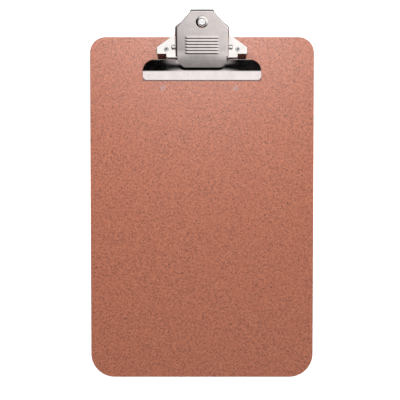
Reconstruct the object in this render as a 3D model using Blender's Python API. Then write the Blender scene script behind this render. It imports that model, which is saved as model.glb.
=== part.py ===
"""A hardboard clipboard with a sprung butterfly clip, lying on its back.

Metres, +Z up out of the writing face, +Y towards the clip, +X to the right. The origin is on the
resting plane, under the middle of the whole object. The clip's own sizes are given in the clip
frame: x from the middle, y from the board's top edge (positive past it) and z from its face.
"""

import math

import bmesh
import bpy
from mathutils import Matrix, Vector

# The board
BOARD_WIDTH = 0.229
BOARD_LENGTH = 0.350
BOARD_THICKNESS = 0.0032
TOP_CORNER_RADIUS = 0.016
FOOT_CORNER_RADIUS = 0.0245

# What every clip piece shares
SHEET = 0.0009
GAP = 0.0003
LEVER_REACH = 0.0249

# Hinge axis, in the clip frame
PIN_Y = -0.0109
PIN_Z = 0.0092
PIN_RADIUS = 0.0016
PIN_HOLE_RADIUS = 0.00195
PIN_HEAD_RADIUS = 0.0023
PIN_HEAD_INNER_X = 0.0272
PIN_HEAD_OUTER_X = 0.0314

# Base plate
TRAY_Z = 0.0044
TAB_HALF_WIDTH = 0.0362
TAB_Y = -0.0211
TAB_CORNER = 0.0015
EAR_HALF_WIDTH = 0.0459
EAR_FRONT_Y = -0.0176
EAR_BACK_Y = -0.0108
EAR_CHAMFER = 0.0009
STOP_RELIEF = 0.0005
SLANT_HALF_WIDTH = 0.0321
SLANT_Y = -0.0009
RIM_HALF_WIDTH = 0.0345
TONGUE_HALF_WIDTH = 0.0170
TONGUE_END_Y = 0.0205
TONGUE_CORNER = 0.0060
STOP_FOOT_Y = -0.0224
STOP_FOOT_Z = 0.0011
STOP_FOOT_HALF_WIDTH = 0.0446
HINGE_EAR_INNER_X = 0.0239
HINGE_EAR_OUTER_X = 0.0248
HINGE_EAR_RADIUS = 0.0034
HINGE_EAR_FOOT = 0.0050
WINDOW_INNER_X = 0.0140
WINDOW_OUTER_X = 0.0244
WINDOW_FRONT_Y = -0.0165
WINDOW_BACK_Y = -0.0053
TONGUE_HOLE_RADIUS = 0.0050

# Rivets
RIVET_X = 0.0364
RIVET_Y = -0.0128
RIVET_SHANK_RADIUS = 0.0017
RIVET_SHOULDER_RADIUS = 0.0029
RIVET_HEAD_RADIUS = 0.0036
RIVET_HEAD_THICKNESS = 0.0008
RIVET_CLINCH_RADIUS = 0.00245
RIVET_BORE_RADIUS = 0.0010
RIVET_RECESS = 0.0002

# Lever plate, raised panel, wings and jaw bar
PLATE_Z = 0.0152
PLATE_SLOPE = 0.49
PLATE_CURVE = -0.94
PLATE_HALF_WIDTH = 0.0249
PLATE_TOP_HALF_WIDTH = 0.0106
SHOULDER_Y = 0.0073
NOTCH_HALF_WIDTH = 0.0243
FLANGE_END_Y = -0.0203
BEND_RADIUS = 0.0011
FLANGE_SPLAY = 0.12
FLANGE_PIN_RADIUS = 0.0043
FLANGE_BACK_ANGLE = math.radians(42)
FLANGE_FRONT_ANGLE = math.radians(30)
LIP_DEPTH = 0.0024
RIB_COUNT = 6
RIB_PITCH = 0.00293
RIB_CREST_Y = -0.00275
RIB_DROP = 0.0009
RIB_HEIGHT = 0.0006
RIB_HALF_LENGTH = 0.0174
RIB_END = 0.0010
PANEL_TOP_Y = -0.0183
PANEL_CURVE = -3.0
PANEL_HALF_WIDTH = 0.0205
PANEL_END_Y = -0.0310
PANEL_CORNER = 0.0035
PANEL_DROP = 0.0034
PANEL_EASE = 0.2
BAR_Z = GAP + SHEET
BAR_HALF_WIDTH = 0.0604
BAR_END_Y = -0.0438
BAR_CORNER = 0.0040
WING_TOP_Y = -0.0241
WING_SHOULDER_X = 0.0490
WING_SLOPE = 0.84
WING_BEND_Y = -0.0350
WING_BEND_REACH = 0.0008
SWEEP_TOP_Y = -0.0270
SWEEP_FOOT_Y = -0.0362
BLEND_INNER_X = 0.0210
BLEND_OUTER_X = 0.0400
PIP_X = 0.0556
PIP_Y = -0.0392
PIP_RADIUS = 0.0015

# Hanging eyelet in the lever plate
EYELET_Y = 0.0127
EYELET_RADIUS = 0.0063
EYELET_BORE_RADIUS = 0.0036
EYELET_BARREL_RADIUS = 0.00405
EYELET_BACK_RADIUS = 0.0052
EYELET_HOLE_RADIUS = 0.00435
EYELET_RISE = 0.0016

# Double torsion spring
WIRE_RADIUS = 0.0009
COIL_RADIUS = 0.0030
COIL_OUTER_X = 0.0215
COIL_PITCH = 0.00195
COIL_FULL_TURNS = 6
COIL_POINTS_PER_TURN = 10
SPRING_LEG_Y = 0.0045
SPRING_LOOP_Y = 0.0035
LOOP_CORNER = 0.0030

ROUND_SEGMENTS = 24
ARC_SEGMENTS = 8

STEEL = {"color": (0.72, 0.71, 0.70), "roughness": 0.22, "metallic": 1.0}
MATERIALS = {
    "hardboard": {"color": (0.50, 0.23, 0.15), "roughness": 0.55, "metallic": 0.0},
    "base_steel": STEEL,
    "lever_steel": STEEL,
    "eyelet_steel": {"color": (0.80, 0.79, 0.78), "roughness": 0.18, "metallic": 1.0},
    "pin_steel": {"color": (0.62, 0.61, 0.60), "roughness": 0.28, "metallic": 1.0},
    "rivet_steel": {"color": (0.76, 0.75, 0.73), "roughness": 0.25, "metallic": 1.0},
    "spring_steel": {"color": (0.45, 0.45, 0.46), "roughness": 0.32, "metallic": 1.0},
}


def clear_scene():
    for obj in list(bpy.data.objects):
        bpy.data.objects.remove(obj, do_unlink=True)


def material(name):
    """A Principled material with one of the finishes above."""
    values = MATERIALS[name]
    made = bpy.data.materials.get(name) or bpy.data.materials.new(name)
    made.use_nodes = True
    shader = made.node_tree.nodes["Principled BSDF"]
    shader.inputs["Base Color"].default_value = (*values["color"], 1.0)
    shader.inputs["Roughness"].default_value = values["roughness"]
    shader.inputs["Metallic"].default_value = values["metallic"]
    return made


def smoothstep(low, high, value):
    t = min(max((value - low) / (high - low), 0.0), 1.0)
    return t * t * (3 - 2 * t)


def mix(a, b, share):
    return a + (b - a) * share


# Building blocks


def object_from(name, bm, finish, parent, smooth=False):
    """An object holding this bmesh, at its parent's place. A closed mesh gets outward faces."""
    if all(edge.is_manifold for edge in bm.edges):
        bmesh.ops.recalc_face_normals(bm, faces=bm.faces)
    mesh = bpy.data.meshes.new(name)
    bm.to_mesh(mesh)
    bm.free()
    if smooth:
        mesh.shade_smooth()
        mesh.set_sharp_from_angle(angle=math.radians(35))
    if finish:
        mesh.materials.append(material(finish))
    obj = bpy.data.objects.new(name, mesh)
    bpy.context.scene.collection.objects.link(obj)
    obj.parent = parent
    return obj


def boolean(obj, tool, operation):
    """A Boolean with a tool object, which is hidden from renders."""
    tool.hide_render = True
    tool.display_type = "WIRE"
    cut = obj.modifiers.new(f"{operation.lower()}_{tool.name}", "BOOLEAN")
    cut.solver = "EXACT"
    cut.operation = operation
    cut.object = tool


def arc(centre, radius, start, stop, segments=ARC_SEGMENTS):
    """Points round a circle, from one angle in degrees to another, both ends included."""
    for step in range(segments + 1):
        angle = math.radians(mix(start, stop, step / segments))
        yield (centre[0] + radius * math.cos(angle), centre[1] + radius * math.sin(angle))


def prism(outline, low, high):
    """A bmesh of a flat outline extruded from one height to another."""
    bm = bmesh.new()
    face = bm.faces.new([bm.verts.new((x, y, low)) for x, y in outline])
    raised = bmesh.ops.extrude_face_region(bm, geom=[face])["geom"]
    corners = [item for item in raised if isinstance(item, bmesh.types.BMVert)]
    bmesh.ops.translate(bm, verts=corners, vec=(0, 0, high - low))
    return bm


def turned(profile, closed=False, segments=ROUND_SEGMENTS):
    """A profile of (radius, height) points turned about Z: from axis to axis, or a closed section."""
    bm = bmesh.new()
    ring = [bm.verts.new((radius, 0, height)) for radius, height in profile]
    edges = [bm.edges.new(pair) for pair in zip(ring, ring[1:])]
    if closed:
        edges.append(bm.edges.new((ring[-1], ring[0])))
    bmesh.ops.spin(
        bm, geom=ring + edges, cent=(0, 0, 0), axis=(0, 0, 1), angle=math.tau, steps=segments
    )
    bmesh.ops.remove_doubles(bm, verts=bm.verts, dist=1e-6)
    return bm


def cylinder_tool(name, parent, centre, radius, low, high, along="Z"):
    """A cutter: a cylinder between two heights along Z or X."""
    bm = turned([(0, low), (radius, low), (radius, high), (0, high)])
    if along == "X":
        bmesh.ops.rotate(bm, verts=bm.verts, matrix=Matrix.Rotation(math.pi / 2, 3, "Y"))
    bmesh.ops.translate(bm, verts=bm.verts, vec=centre)
    return object_from(name, bm, None, parent)


def frame_empty(name, location, parent=None):
    empty = bpy.data.objects.new(name, None)
    bpy.context.scene.collection.objects.link(empty)
    empty.parent = parent
    empty.location = location
    return empty


# Board


def board_outline():
    half = BOARD_WIDTH / 2
    foot = -BOARD_LENGTH
    yield from arc((half - TOP_CORNER_RADIUS, -TOP_CORNER_RADIUS), TOP_CORNER_RADIUS, 0, 90)
    yield from arc((TOP_CORNER_RADIUS - half, -TOP_CORNER_RADIUS), TOP_CORNER_RADIUS, 90, 180)
    yield from arc(
        (FOOT_CORNER_RADIUS - half, foot + FOOT_CORNER_RADIUS), FOOT_CORNER_RADIUS, 180, 270
    )
    yield from arc(
        (half - FOOT_CORNER_RADIUS, foot + FOOT_CORNER_RADIUS), FOOT_CORNER_RADIUS, 270, 360
    )


def make_board(clip_frame):
    board = object_from(
        "board", prism(list(board_outline()), -BOARD_THICKNESS, 0), "hardboard", clip_frame
    )
    recess_top = RIVET_RECESS + RIVET_HEAD_THICKNESS + GAP - BOARD_THICKNESS
    stepped_hole = [
        (0, -2 * BOARD_THICKNESS),
        (RIVET_HEAD_RADIUS + GAP, -2 * BOARD_THICKNESS),
        (RIVET_HEAD_RADIUS + GAP, recess_top),
        (RIVET_SHANK_RADIUS + GAP, recess_top),
        (RIVET_SHANK_RADIUS + GAP, BOARD_THICKNESS),
        (0, BOARD_THICKNESS),
    ]
    for side in (-1, 1):
        hole = turned(stepped_hole)
        bmesh.ops.translate(hole, verts=hole.verts, vec=(side * RIVET_X, RIVET_Y, 0))
        boolean(board, object_from(f"rivet_hole_{side}", hole, None, clip_frame), "DIFFERENCE")
    return board


# Base plate


def tray_half_outline():
    """Right half of the base plate's flat outline, from the tab's front to the tongue's end."""
    yield from arc((TAB_HALF_WIDTH - TAB_CORNER, TAB_Y + TAB_CORNER), TAB_CORNER, -90, 0, 3)
    yield (TAB_HALF_WIDTH, EAR_FRONT_Y + STOP_RELIEF)
    yield (TAB_HALF_WIDTH + STOP_RELIEF, EAR_FRONT_Y + STOP_RELIEF)
    yield (TAB_HALF_WIDTH + STOP_RELIEF, EAR_FRONT_Y)
    yield (EAR_HALF_WIDTH - EAR_CHAMFER, EAR_FRONT_Y)
    yield (EAR_HALF_WIDTH, EAR_FRONT_Y + EAR_CHAMFER)
    yield (EAR_HALF_WIDTH, EAR_BACK_Y)
    for half_width in (RIM_HALF_WIDTH, TONGUE_HALF_WIDTH):
        yield (half_width, slant_y(half_width))
    yield from arc(
        (TONGUE_HALF_WIDTH - TONGUE_CORNER, TONGUE_END_Y - TONGUE_CORNER), TONGUE_CORNER, 0, 90, 5
    )


def slant_y(half_width):
    """Where the base plate's slanted edge is at this distance from the middle."""
    slope = (SLANT_Y - EAR_BACK_Y) / (EAR_HALF_WIDTH - SLANT_HALF_WIDTH)
    return SLANT_Y + (SLANT_HALF_WIDTH - half_width) * slope


def make_tray(clip_frame):
    right = list(tray_half_outline())
    outline = right + [(-x, y) for x, y in reversed(right)]
    return object_from("clip_base", prism(outline, TRAY_Z - SHEET, TRAY_Z), "base_steel", clip_frame)


def rim_outline(side):
    """The turned-down rim from above: a strip along the ear's end and the slanted edge."""
    outer = [
        Vector((EAR_HALF_WIDTH, EAR_FRONT_Y + EAR_CHAMFER)),
        Vector((EAR_HALF_WIDTH, EAR_BACK_Y)),
        Vector((RIM_HALF_WIDTH, slant_y(RIM_HALF_WIDTH))),
    ]
    inward = Vector((-1, 0))
    slant = (outer[2] - outer[1]).normalized()
    slant_inward = Vector((-slant.y, slant.x))
    mitre = (inward + slant_inward) / (1 + inward.dot(slant_inward))
    inner = [outer[0] + inward * SHEET, outer[1] + mitre * SHEET, outer[2] + slant_inward * SHEET]
    return [(side * point.x, point.y) for point in outer + inner[::-1]]


def paper_stop(side):
    """A sloping flange in front of each ear, which stops the paper: a slab with two ends."""
    slope = Vector((STOP_FOOT_Y - EAR_FRONT_Y, STOP_FOOT_Z - TRAY_Z)).normalized()
    under = Vector((-slope.y, slope.x)) * SHEET
    root = Vector((EAR_FRONT_Y, TRAY_Z)) - slope * SHEET / 4
    foot = Vector((STOP_FOOT_Y, STOP_FOOT_Z))
    inner = TAB_HALF_WIDTH + STOP_RELIEF
    bm = bmesh.new()
    rings = []
    for place, outer in ((root, EAR_HALF_WIDTH - EAR_CHAMFER), (foot, STOP_FOOT_HALF_WIDTH)):
        section = [(inner, place), (outer, place), (outer, place + under), (inner, place + under)]
        rings.append([bm.verts.new((side * x, at.x, at.y)) for x, at in section])
    for ring in rings:
        bm.faces.new(ring)
    for k in range(4):
        bm.faces.new([rings[0][k], rings[0][k - 1], rings[1][k - 1], rings[1][k]])
    return bm


def hinge_ear_outline():
    """Side view of a hinge ear as (y, z): a wide foot and a round head about the pin."""
    yield (PIN_Y - HINGE_EAR_FOOT, TRAY_Z - SHEET / 2)
    yield (PIN_Y + HINGE_EAR_FOOT, TRAY_Z - SHEET / 2)
    yield (PIN_Y + HINGE_EAR_FOOT, TRAY_Z + SHEET / 2)
    yield from arc((PIN_Y, PIN_Z), HINGE_EAR_RADIUS, 0, 180, 12)
    yield (PIN_Y - HINGE_EAR_FOOT, TRAY_Z + SHEET / 2)


def hinge_ear(name, side, clip_frame):
    bm = prism(list(hinge_ear_outline()), HINGE_EAR_INNER_X, HINGE_EAR_OUTER_X)
    for vert in bm.verts:
        y, z, x = vert.co
        vert.co = (side * x, y, z)
    return object_from(name, bm, None, clip_frame)


def window_tool(name, side, clip_frame):
    """A cutter for the window that a hinge ear was folded up from."""
    inner, outer = sorted((side * WINDOW_INNER_X, side * WINDOW_OUTER_X))
    outline = [
        (inner, WINDOW_FRONT_Y),
        (outer, WINDOW_FRONT_Y),
        (outer, WINDOW_BACK_Y),
        (inner, WINDOW_BACK_Y),
    ]
    return object_from(name, prism(outline, 0, 2 * TRAY_Z), None, clip_frame)


def make_base(clip_frame):
    base = make_tray(clip_frame)
    for side in (-1, 1):
        rim = object_from(f"rim_{side}", prism(rim_outline(side), GAP, TRAY_Z), None, clip_frame)
        boolean(base, rim, "UNION")
        stop = object_from(f"paper_stop_{side}", paper_stop(side), None, clip_frame)
        boolean(base, stop, "UNION")
        boolean(base, window_tool(f"ear_window_{side}", side, clip_frame), "DIFFERENCE")
        spot = (side * RIVET_X, RIVET_Y, 0)
        hole = cylinder_tool(
            f"base_rivet_hole_{side}",
            clip_frame,
            spot,
            RIVET_SHANK_RADIUS + GAP,
            0.001,
            2 * TRAY_Z,
        )
        boolean(base, hole, "DIFFERENCE")
    for side in (-1, 1):
        boolean(base, hinge_ear(f"hinge_ear_{side}", side, clip_frame), "UNION")
    tongue_hole = cylinder_tool(
        "tongue_hole", clip_frame, (0, EYELET_Y, 0), TONGUE_HOLE_RADIUS, 0, 2 * TRAY_Z
    )
    boolean(base, tongue_hole, "DIFFERENCE")
    pin_hole = cylinder_tool(
        "base_pin_hole", clip_frame, (0, PIN_Y, PIN_Z), PIN_HOLE_RADIUS, -0.03, 0.03, along="X"
    )
    boolean(base, pin_hole, "DIFFERENCE")
    return base


# Lever: its upper surface as heights over the clip frame


def plate_z(y):
    """The thumb plate and raised panel: a slightly bowed slope, which steepens down the panel."""
    past_pin = y - PIN_Y
    past_panel = min(y - PANEL_TOP_Y, 0)
    return PLATE_Z + PLATE_SLOPE * past_pin + PLATE_CURVE * past_pin**2 + PANEL_CURVE * past_panel**2


def plate_slope(y):
    past_panel = min(y - PANEL_TOP_Y, 0)
    return PLATE_SLOPE + 2 * PLATE_CURVE * (y - PIN_Y) + 2 * PANEL_CURVE * past_panel


def wing_z(y):
    """The flat jaw bar, a short bend and the steep wing."""
    past_bend = y - WING_BEND_Y
    reach = WING_BEND_REACH
    if past_bend < -reach:
        return BAR_Z
    if past_bend < reach:
        return BAR_Z + WING_SLOPE * (past_bend + reach) ** 2 / (4 * reach)
    return BAR_Z + WING_SLOPE * past_bend


def sweep_z(y):
    """Beside the raised panel the plate sweeps down to the bar in one soft curve."""
    if y >= SWEEP_TOP_Y:
        return plate_z(y)
    if y <= SWEEP_FOOT_Y:
        return BAR_Z
    length = SWEEP_TOP_Y - SWEEP_FOOT_Y
    t = (y - SWEEP_FOOT_Y) / length
    ease = t * t * (3 - 2 * t)
    return mix(BAR_Z, plate_z(SWEEP_TOP_Y), ease) + (t**3 - t**2) * length * plate_slope(SWEEP_TOP_Y)


def panel_share(x, y):
    """1 on the raised panel, falling to 0 past its rounded end."""
    dx = abs(x) - PANEL_HALF_WIDTH + PANEL_CORNER
    dy = PANEL_END_Y + PANEL_CORNER - y
    outside = math.hypot(max(dx, 0), max(dy, 0)) + min(max(dx, dy), 0) - PANEL_CORNER
    return 1 - eased_ramp(outside / PANEL_DROP, PANEL_EASE)


def eased_ramp(t, ease):
    """0 to 1 in a straight line, rounded over this share at each end."""
    t = min(max(t, 0), 1)
    if t > 0.5:
        return 1 - eased_ramp(1 - t, ease)
    steepness = 1 / (1 - ease)
    return steepness * t * t / (2 * ease) if t < ease else steepness * (t - ease / 2)


def rib_height(x, y):
    """Six grip ribs across the thumb plate: each rises gently towards the jaw, then drops sharply."""
    past_first = RIB_CREST_Y + RIB_PITCH - RIB_DROP - y
    rib, along = divmod(past_first, RIB_PITCH)
    if not 0 <= rib < RIB_COUNT:
        return 0.0
    rise = RIB_PITCH - RIB_DROP
    height = along / rise if along < rise else 1 - (along - rise) / RIB_DROP
    end = 1 - smoothstep(RIB_HALF_LENGTH - RIB_END, RIB_HALF_LENGTH, abs(x))
    return RIB_HEIGHT * height * end


def lever_z(x, y):
    centre = 1 - smoothstep(BLEND_INNER_X, BLEND_OUTER_X, abs(x))
    ground = mix(wing_z(y), sweep_z(y), centre)
    if y > SWEEP_TOP_Y:
        ground = mix(wing_z(y), plate_z(y), centre) if abs(x) > PLATE_HALF_WIDTH else plate_z(y)
    return mix(ground, plate_z(y), panel_share(x, y)) + rib_height(x, y)


# Lever: its outline, its grid of points and its turned-down flanges


def plate_half_width(y):
    """Half the width of the flat plate between its bends."""
    if y > SHOULDER_Y:
        share = (y - SHOULDER_Y) / (plate_top_y() - SHOULDER_Y)
        return mix(PLATE_HALF_WIDTH, PLATE_TOP_HALF_WIDTH, share)
    if WING_TOP_Y < y < FLANGE_END_Y:
        return NOTCH_HALF_WIDTH
    return PLATE_HALF_WIDTH


def plate_top_y():
    """Where the flat plate ends, short of the lever's reach by its bend and its lip's splay."""
    return LEVER_REACH - BEND_RADIUS - FLANGE_SPLAY * (LIP_DEPTH - BEND_RADIUS)


def wing_half_width(y):
    """Half the jaw's width: round shoulders, straight ends and round lower corners."""
    corner_y = BAR_END_Y + BAR_CORNER
    if y > WING_BEND_Y:
        share = (y - WING_BEND_Y) / (WING_TOP_Y - WING_BEND_Y)
        fall = math.sqrt(max(1 - share**2, 0))
        return WING_SHOULDER_X + (BAR_HALF_WIDTH - WING_SHOULDER_X) * fall
    if y < corner_y:
        return BAR_HALF_WIDTH - BAR_CORNER + math.sqrt(max(BAR_CORNER**2 - (corner_y - y) ** 2, 0))
    return BAR_HALF_WIDTH


def plate_rows():
    """Heights along y of the plate's rows of points, from the top edge down to the wings."""
    top = plate_top_y()
    yield from (top, mix(top, SHOULDER_Y, 0.5), SHOULDER_Y, mix(SHOULDER_Y, RIB_CREST_Y, 0.4))
    yield RIB_CREST_Y + RIB_PITCH - RIB_DROP
    for rib in range(RIB_COUNT):
        yield RIB_CREST_Y - rib * RIB_PITCH
        yield RIB_CREST_Y - rib * RIB_PITCH - RIB_DROP
    yield from (FLANGE_END_Y, FLANGE_END_Y - GAP, WING_TOP_Y + GAP)


def wing_rows():
    """Rows from the wings' upper edge down to the jaw bar's front edge."""
    rise = WING_TOP_Y - WING_BEND_Y
    for angle in (90, 78, 64, 50, 36):
        yield WING_BEND_Y + rise * math.sin(math.radians(angle))
    yield PANEL_END_Y
    yield PANEL_END_Y - PANEL_DROP / 2
    yield PANEL_END_Y - PANEL_DROP
    yield WING_BEND_Y - WING_BEND_REACH
    yield SWEEP_FOOT_Y - WING_BEND_REACH
    for angle in (0, 35, 65, 90):
        yield BAR_END_Y + BAR_CORNER * (1 - math.sin(math.radians(angle)))


PLATE_COLUMNS = (0, 0.33, 0.655, 0.70, 0.823, 0.92, 1)
WING_COLUMNS = (0.12, 0.3, 0.5, 0.72, 0.9, 1)


def both_sides(shares):
    return [-share for share in reversed(shares) if share] + list(shares)


def flange_low_z(y):
    """Height of the side flange's lower edge: round under the pin, then straight up both ways."""
    past_pin = y - PIN_Y
    angle = FLANGE_BACK_ANGLE if past_pin > 0 else FLANGE_FRONT_ANGLE
    touch = FLANGE_PIN_RADIUS * math.sin(angle)
    if abs(past_pin) < touch:
        low = PIN_Z - math.sqrt(FLANGE_PIN_RADIUS**2 - past_pin**2)
    else:
        touch_z = PIN_Z - FLANGE_PIN_RADIUS * math.cos(angle)
        low = touch_z + math.tan(angle) * (abs(past_pin) - touch)
    return min(low, plate_z(y) - LIP_DEPTH)


def outward(path, index):
    """Mitred outward direction at a point of an open path running anticlockwise round the plate."""
    sides = []
    for a, b in ((index - 1, index), (index, index + 1)):
        if 0 <= a and b < len(path):
            run = Vector(path[b][:2]) - Vector(path[a][:2])
            sides.append(Vector((run.y, -run.x)).normalized())
    bisector = (sides[0] + sides[-1]).normalized()
    return bisector / bisector.dot(sides[0])


def add_rows(bm, rows, width_at, columns):
    """Points for each row, spaced across its width, as lists of vertices."""
    grid = []
    for y in rows:
        half = width_at(y)
        grid.append([bm.verts.new((s * half, y, lever_z(s * half, y))) for s in columns])
    return grid


def skin(bm, grid):
    """Faces between neighbouring rows of points."""
    for upper, lower in zip(grid, grid[1:]):
        for k in range(len(upper) - 1):
            bm.faces.new([upper[k], lower[k], lower[k + 1], upper[k + 1]])


def add_wings(bm, plate_grid, first_wing_row):
    """The wings carry each row of the plate on, out to the jaw's outline."""
    for side, edge in ((-1, 0), (1, -1)):
        grid = []
        for row in plate_grid[first_wing_row:]:
            root = row[edge]
            y = root.co.y
            reach = wing_half_width(y) - PLATE_HALF_WIDTH
            points = [root]
            for share in WING_COLUMNS:
                x = side * (PLATE_HALF_WIDTH + share * reach)
                points.append(bm.verts.new((x, y, lever_z(x, y))))
            grid.append(points[::side])
        skin(bm, grid)


def add_flanges(bm, plate_grid, flange_rows):
    """One strip turned down round the plate: side flanges for the pin, and a lip round the top."""
    right = [row[-1] for row in reversed(plate_grid[:flange_rows])]
    top = list(reversed(plate_grid[0][1:-1]))
    left = [row[0] for row in plate_grid[:flange_rows]]
    path = right + top + left
    spots = [tuple(vert.co) for vert in path]
    bend, edge = [], []
    for index, (x, y, z) in enumerate(spots):
        out = outward(spots, index)
        on_side = y <= SHOULDER_Y
        low = flange_low_z(y) if on_side else z - LIP_DEPTH
        for ring, down, away in (
            (bend, BEND_RADIUS, BEND_RADIUS),
            (edge, z - low, BEND_RADIUS + FLANGE_SPLAY * (z - low - BEND_RADIUS)),
        ):
            ring.append(bm.verts.new((x + out.x * away, y + out.y * away, z - down)))
    for upper, lower in ((path, bend), (bend, edge)):
        for k in range(len(path) - 1):
            bm.faces.new([upper[k], lower[k], lower[k + 1], upper[k + 1]])


def make_lever(clip_frame, lever_pivot):
    bm = bmesh.new()
    upper = list(plate_rows())
    grid = add_rows(bm, upper + list(wing_rows()), plate_half_width, both_sides(PLATE_COLUMNS))
    skin(bm, grid)
    add_wings(bm, grid, len(upper))
    add_flanges(bm, grid, upper.index(FLANGE_END_Y) + 1)
    bmesh.ops.translate(bm, verts=bm.verts, vec=-lever_pivot.location)
    lever = object_from("clip_lever", bm, "lever_steel", lever_pivot)
    thick = lever.modifiers.new("sheet_thickness", "SOLIDIFY")
    thick.thickness = SHEET
    thick.offset = -1
    thick.use_even_offset = True
    hang_hole = turned([(0, -0.01), (EYELET_HOLE_RADIUS, -0.01), (EYELET_HOLE_RADIUS, 0.01), (0, 0.01)])
    boolean(lever, placed_on_plate("hang_hole", hang_hole, None, clip_frame), "DIFFERENCE")
    pin_hole = cylinder_tool(
        "lever_pin_hole", clip_frame, (0, PIN_Y, PIN_Z), PIN_HOLE_RADIUS, -0.03, 0.03, along="X"
    )
    boolean(lever, pin_hole, "DIFFERENCE")
    for side in (-1, 1):
        spot = (side * PIP_X, PIP_Y, 0)
        pip = cylinder_tool(
            f"pip_{side}", clip_frame, spot, PIP_RADIUS, BAR_Z - SHEET / 4, 2 * BAR_Z
        )
        boolean(lever, pip, "DIFFERENCE")
    return lever


def placed_on_plate(name, bm, finish, parent):
    """A turned shape with its axis square to the thumb plate at the hanging hole."""
    tilt = math.atan(plate_slope(EYELET_Y))
    bmesh.ops.rotate(bm, verts=bm.verts, matrix=Matrix.Rotation(tilt, 3, "X"))
    bmesh.ops.translate(bm, verts=bm.verts, vec=(0, EYELET_Y, plate_z(EYELET_Y)))
    return object_from(name, bm, finish, parent, smooth=True)


def make_eyelet(lever_pivot):
    """A rolled eyelet: a raised rim on the plate, a barrel through it and a clinched back."""
    back = -SHEET - GAP
    profile = [
        (EYELET_BORE_RADIUS, back - 0.0006),
        (EYELET_BORE_RADIUS, EYELET_RISE - 0.0006),
        (EYELET_BORE_RADIUS + 0.0006, EYELET_RISE),
        (EYELET_BORE_RADIUS + 0.0014, EYELET_RISE),
        (EYELET_RADIUS - 0.0004, GAP + 0.0006),
        (EYELET_RADIUS, GAP),
        (EYELET_BARREL_RADIUS, GAP),
        (EYELET_BARREL_RADIUS, back),
        (EYELET_BACK_RADIUS, back),
        (EYELET_BACK_RADIUS - 0.0003, back - 0.0005),
        (EYELET_BARREL_RADIUS, back - 0.0008),
        (EYELET_BORE_RADIUS, back - 0.0006),
    ]
    bm = turned(profile, closed=True)
    eyelet = placed_on_plate("hang_eyelet", bm, "eyelet_steel", lever_pivot)
    eyelet.data.transform(Matrix.Translation(-lever_pivot.location))
    return eyelet


# Pin, rivets and spring


def make_pin(clip_frame):
    """A straight pin with a round head peened at each end, along X."""
    dome = 0.0007
    right = [
        (PIN_RADIUS, PIN_HEAD_INNER_X),
        (PIN_HEAD_RADIUS, PIN_HEAD_INNER_X),
        (PIN_HEAD_RADIUS, PIN_HEAD_OUTER_X - dome),
        (PIN_HEAD_RADIUS - dome, PIN_HEAD_OUTER_X - dome / 4),
        (0, PIN_HEAD_OUTER_X),
    ]
    left = [(radius, -x) for radius, x in reversed(right)]
    bm = turned(left + right)
    pin = object_from("hinge_pin", bm, "pin_steel", clip_frame, smooth=True)
    pin.location = (0, PIN_Y, PIN_Z)
    pin.rotation_euler = (0, math.pi / 2, 0)
    return pin


def make_rivet(name, side, clip_frame):
    """A shouldered tubular rivet: head sunk in the board's back, end rolled over the base plate."""
    head = RIVET_RECESS - BOARD_THICKNESS
    plate_under = TRAY_Z - SHEET - GAP
    roll = TRAY_Z + GAP
    profile = [
        (0, head),
        (RIVET_HEAD_RADIUS, head),
        (RIVET_HEAD_RADIUS, head + RIVET_HEAD_THICKNESS),
        (RIVET_SHANK_RADIUS, head + RIVET_HEAD_THICKNESS),
        (RIVET_SHANK_RADIUS, GAP),
        (RIVET_SHOULDER_RADIUS, GAP),
        (RIVET_SHOULDER_RADIUS, plate_under),
        (RIVET_SHANK_RADIUS, plate_under),
        (RIVET_SHANK_RADIUS, roll),
        (RIVET_CLINCH_RADIUS - 0.0002, roll),
        (RIVET_CLINCH_RADIUS, roll + 0.0002),
        (RIVET_CLINCH_RADIUS - 0.0003, roll + 0.0006),
        (RIVET_BORE_RADIUS + 0.0003, roll + 0.0006),
        (RIVET_BORE_RADIUS, roll + 0.0002),
        (RIVET_BORE_RADIUS, GAP),
        (0, GAP),
    ]
    rivet = object_from(name, turned(profile), "rivet_steel", clip_frame, smooth=True)
    rivet.location = (side * RIVET_X, RIVET_Y, 0)
    return rivet


def spring_half_path():
    """Centreline of the spring's left half, about the pin: base leg, coil and half the lever loop."""
    plate_angle = math.atan(plate_slope(PIN_Y))
    along = Vector((0, math.cos(plate_angle), math.sin(plate_angle)))
    normal = Vector((0, -math.sin(plate_angle), math.cos(plate_angle)))
    leg_z = TRAY_Z + GAP + WIRE_RADIUS - PIN_Z
    yield Vector((-COIL_OUTER_X, SPRING_LEG_Y - PIN_Y, leg_z))
    yield Vector((-COIL_OUTER_X, COIL_RADIUS, mix(leg_z, -COIL_RADIUS, 0.75)))
    turns = COIL_FULL_TURNS + 0.5 - plate_angle / math.tau
    steps = round(turns * COIL_POINTS_PER_TURN)
    for step in range(steps + 1):
        done = turns * step / steps
        angle = -math.pi / 2 - math.tau * done
        x = -COIL_OUTER_X + COIL_PITCH * done
        yield Vector((x, COIL_RADIUS * math.cos(angle), COIL_RADIUS * math.sin(angle)))
    x = -COIL_OUTER_X + COIL_PITCH * turns
    start = normal * COIL_RADIUS
    reach = (SPRING_LOOP_Y - PIN_Y) / along.y
    yield start + along * (reach - LOOP_CORNER) + Vector((x, 0, 0))
    yield start + along * (reach - LOOP_CORNER * 0.3) + Vector((x + LOOP_CORNER * 0.3, 0, 0))
    yield start + along * reach + Vector((x + LOOP_CORNER, 0, 0))


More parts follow.
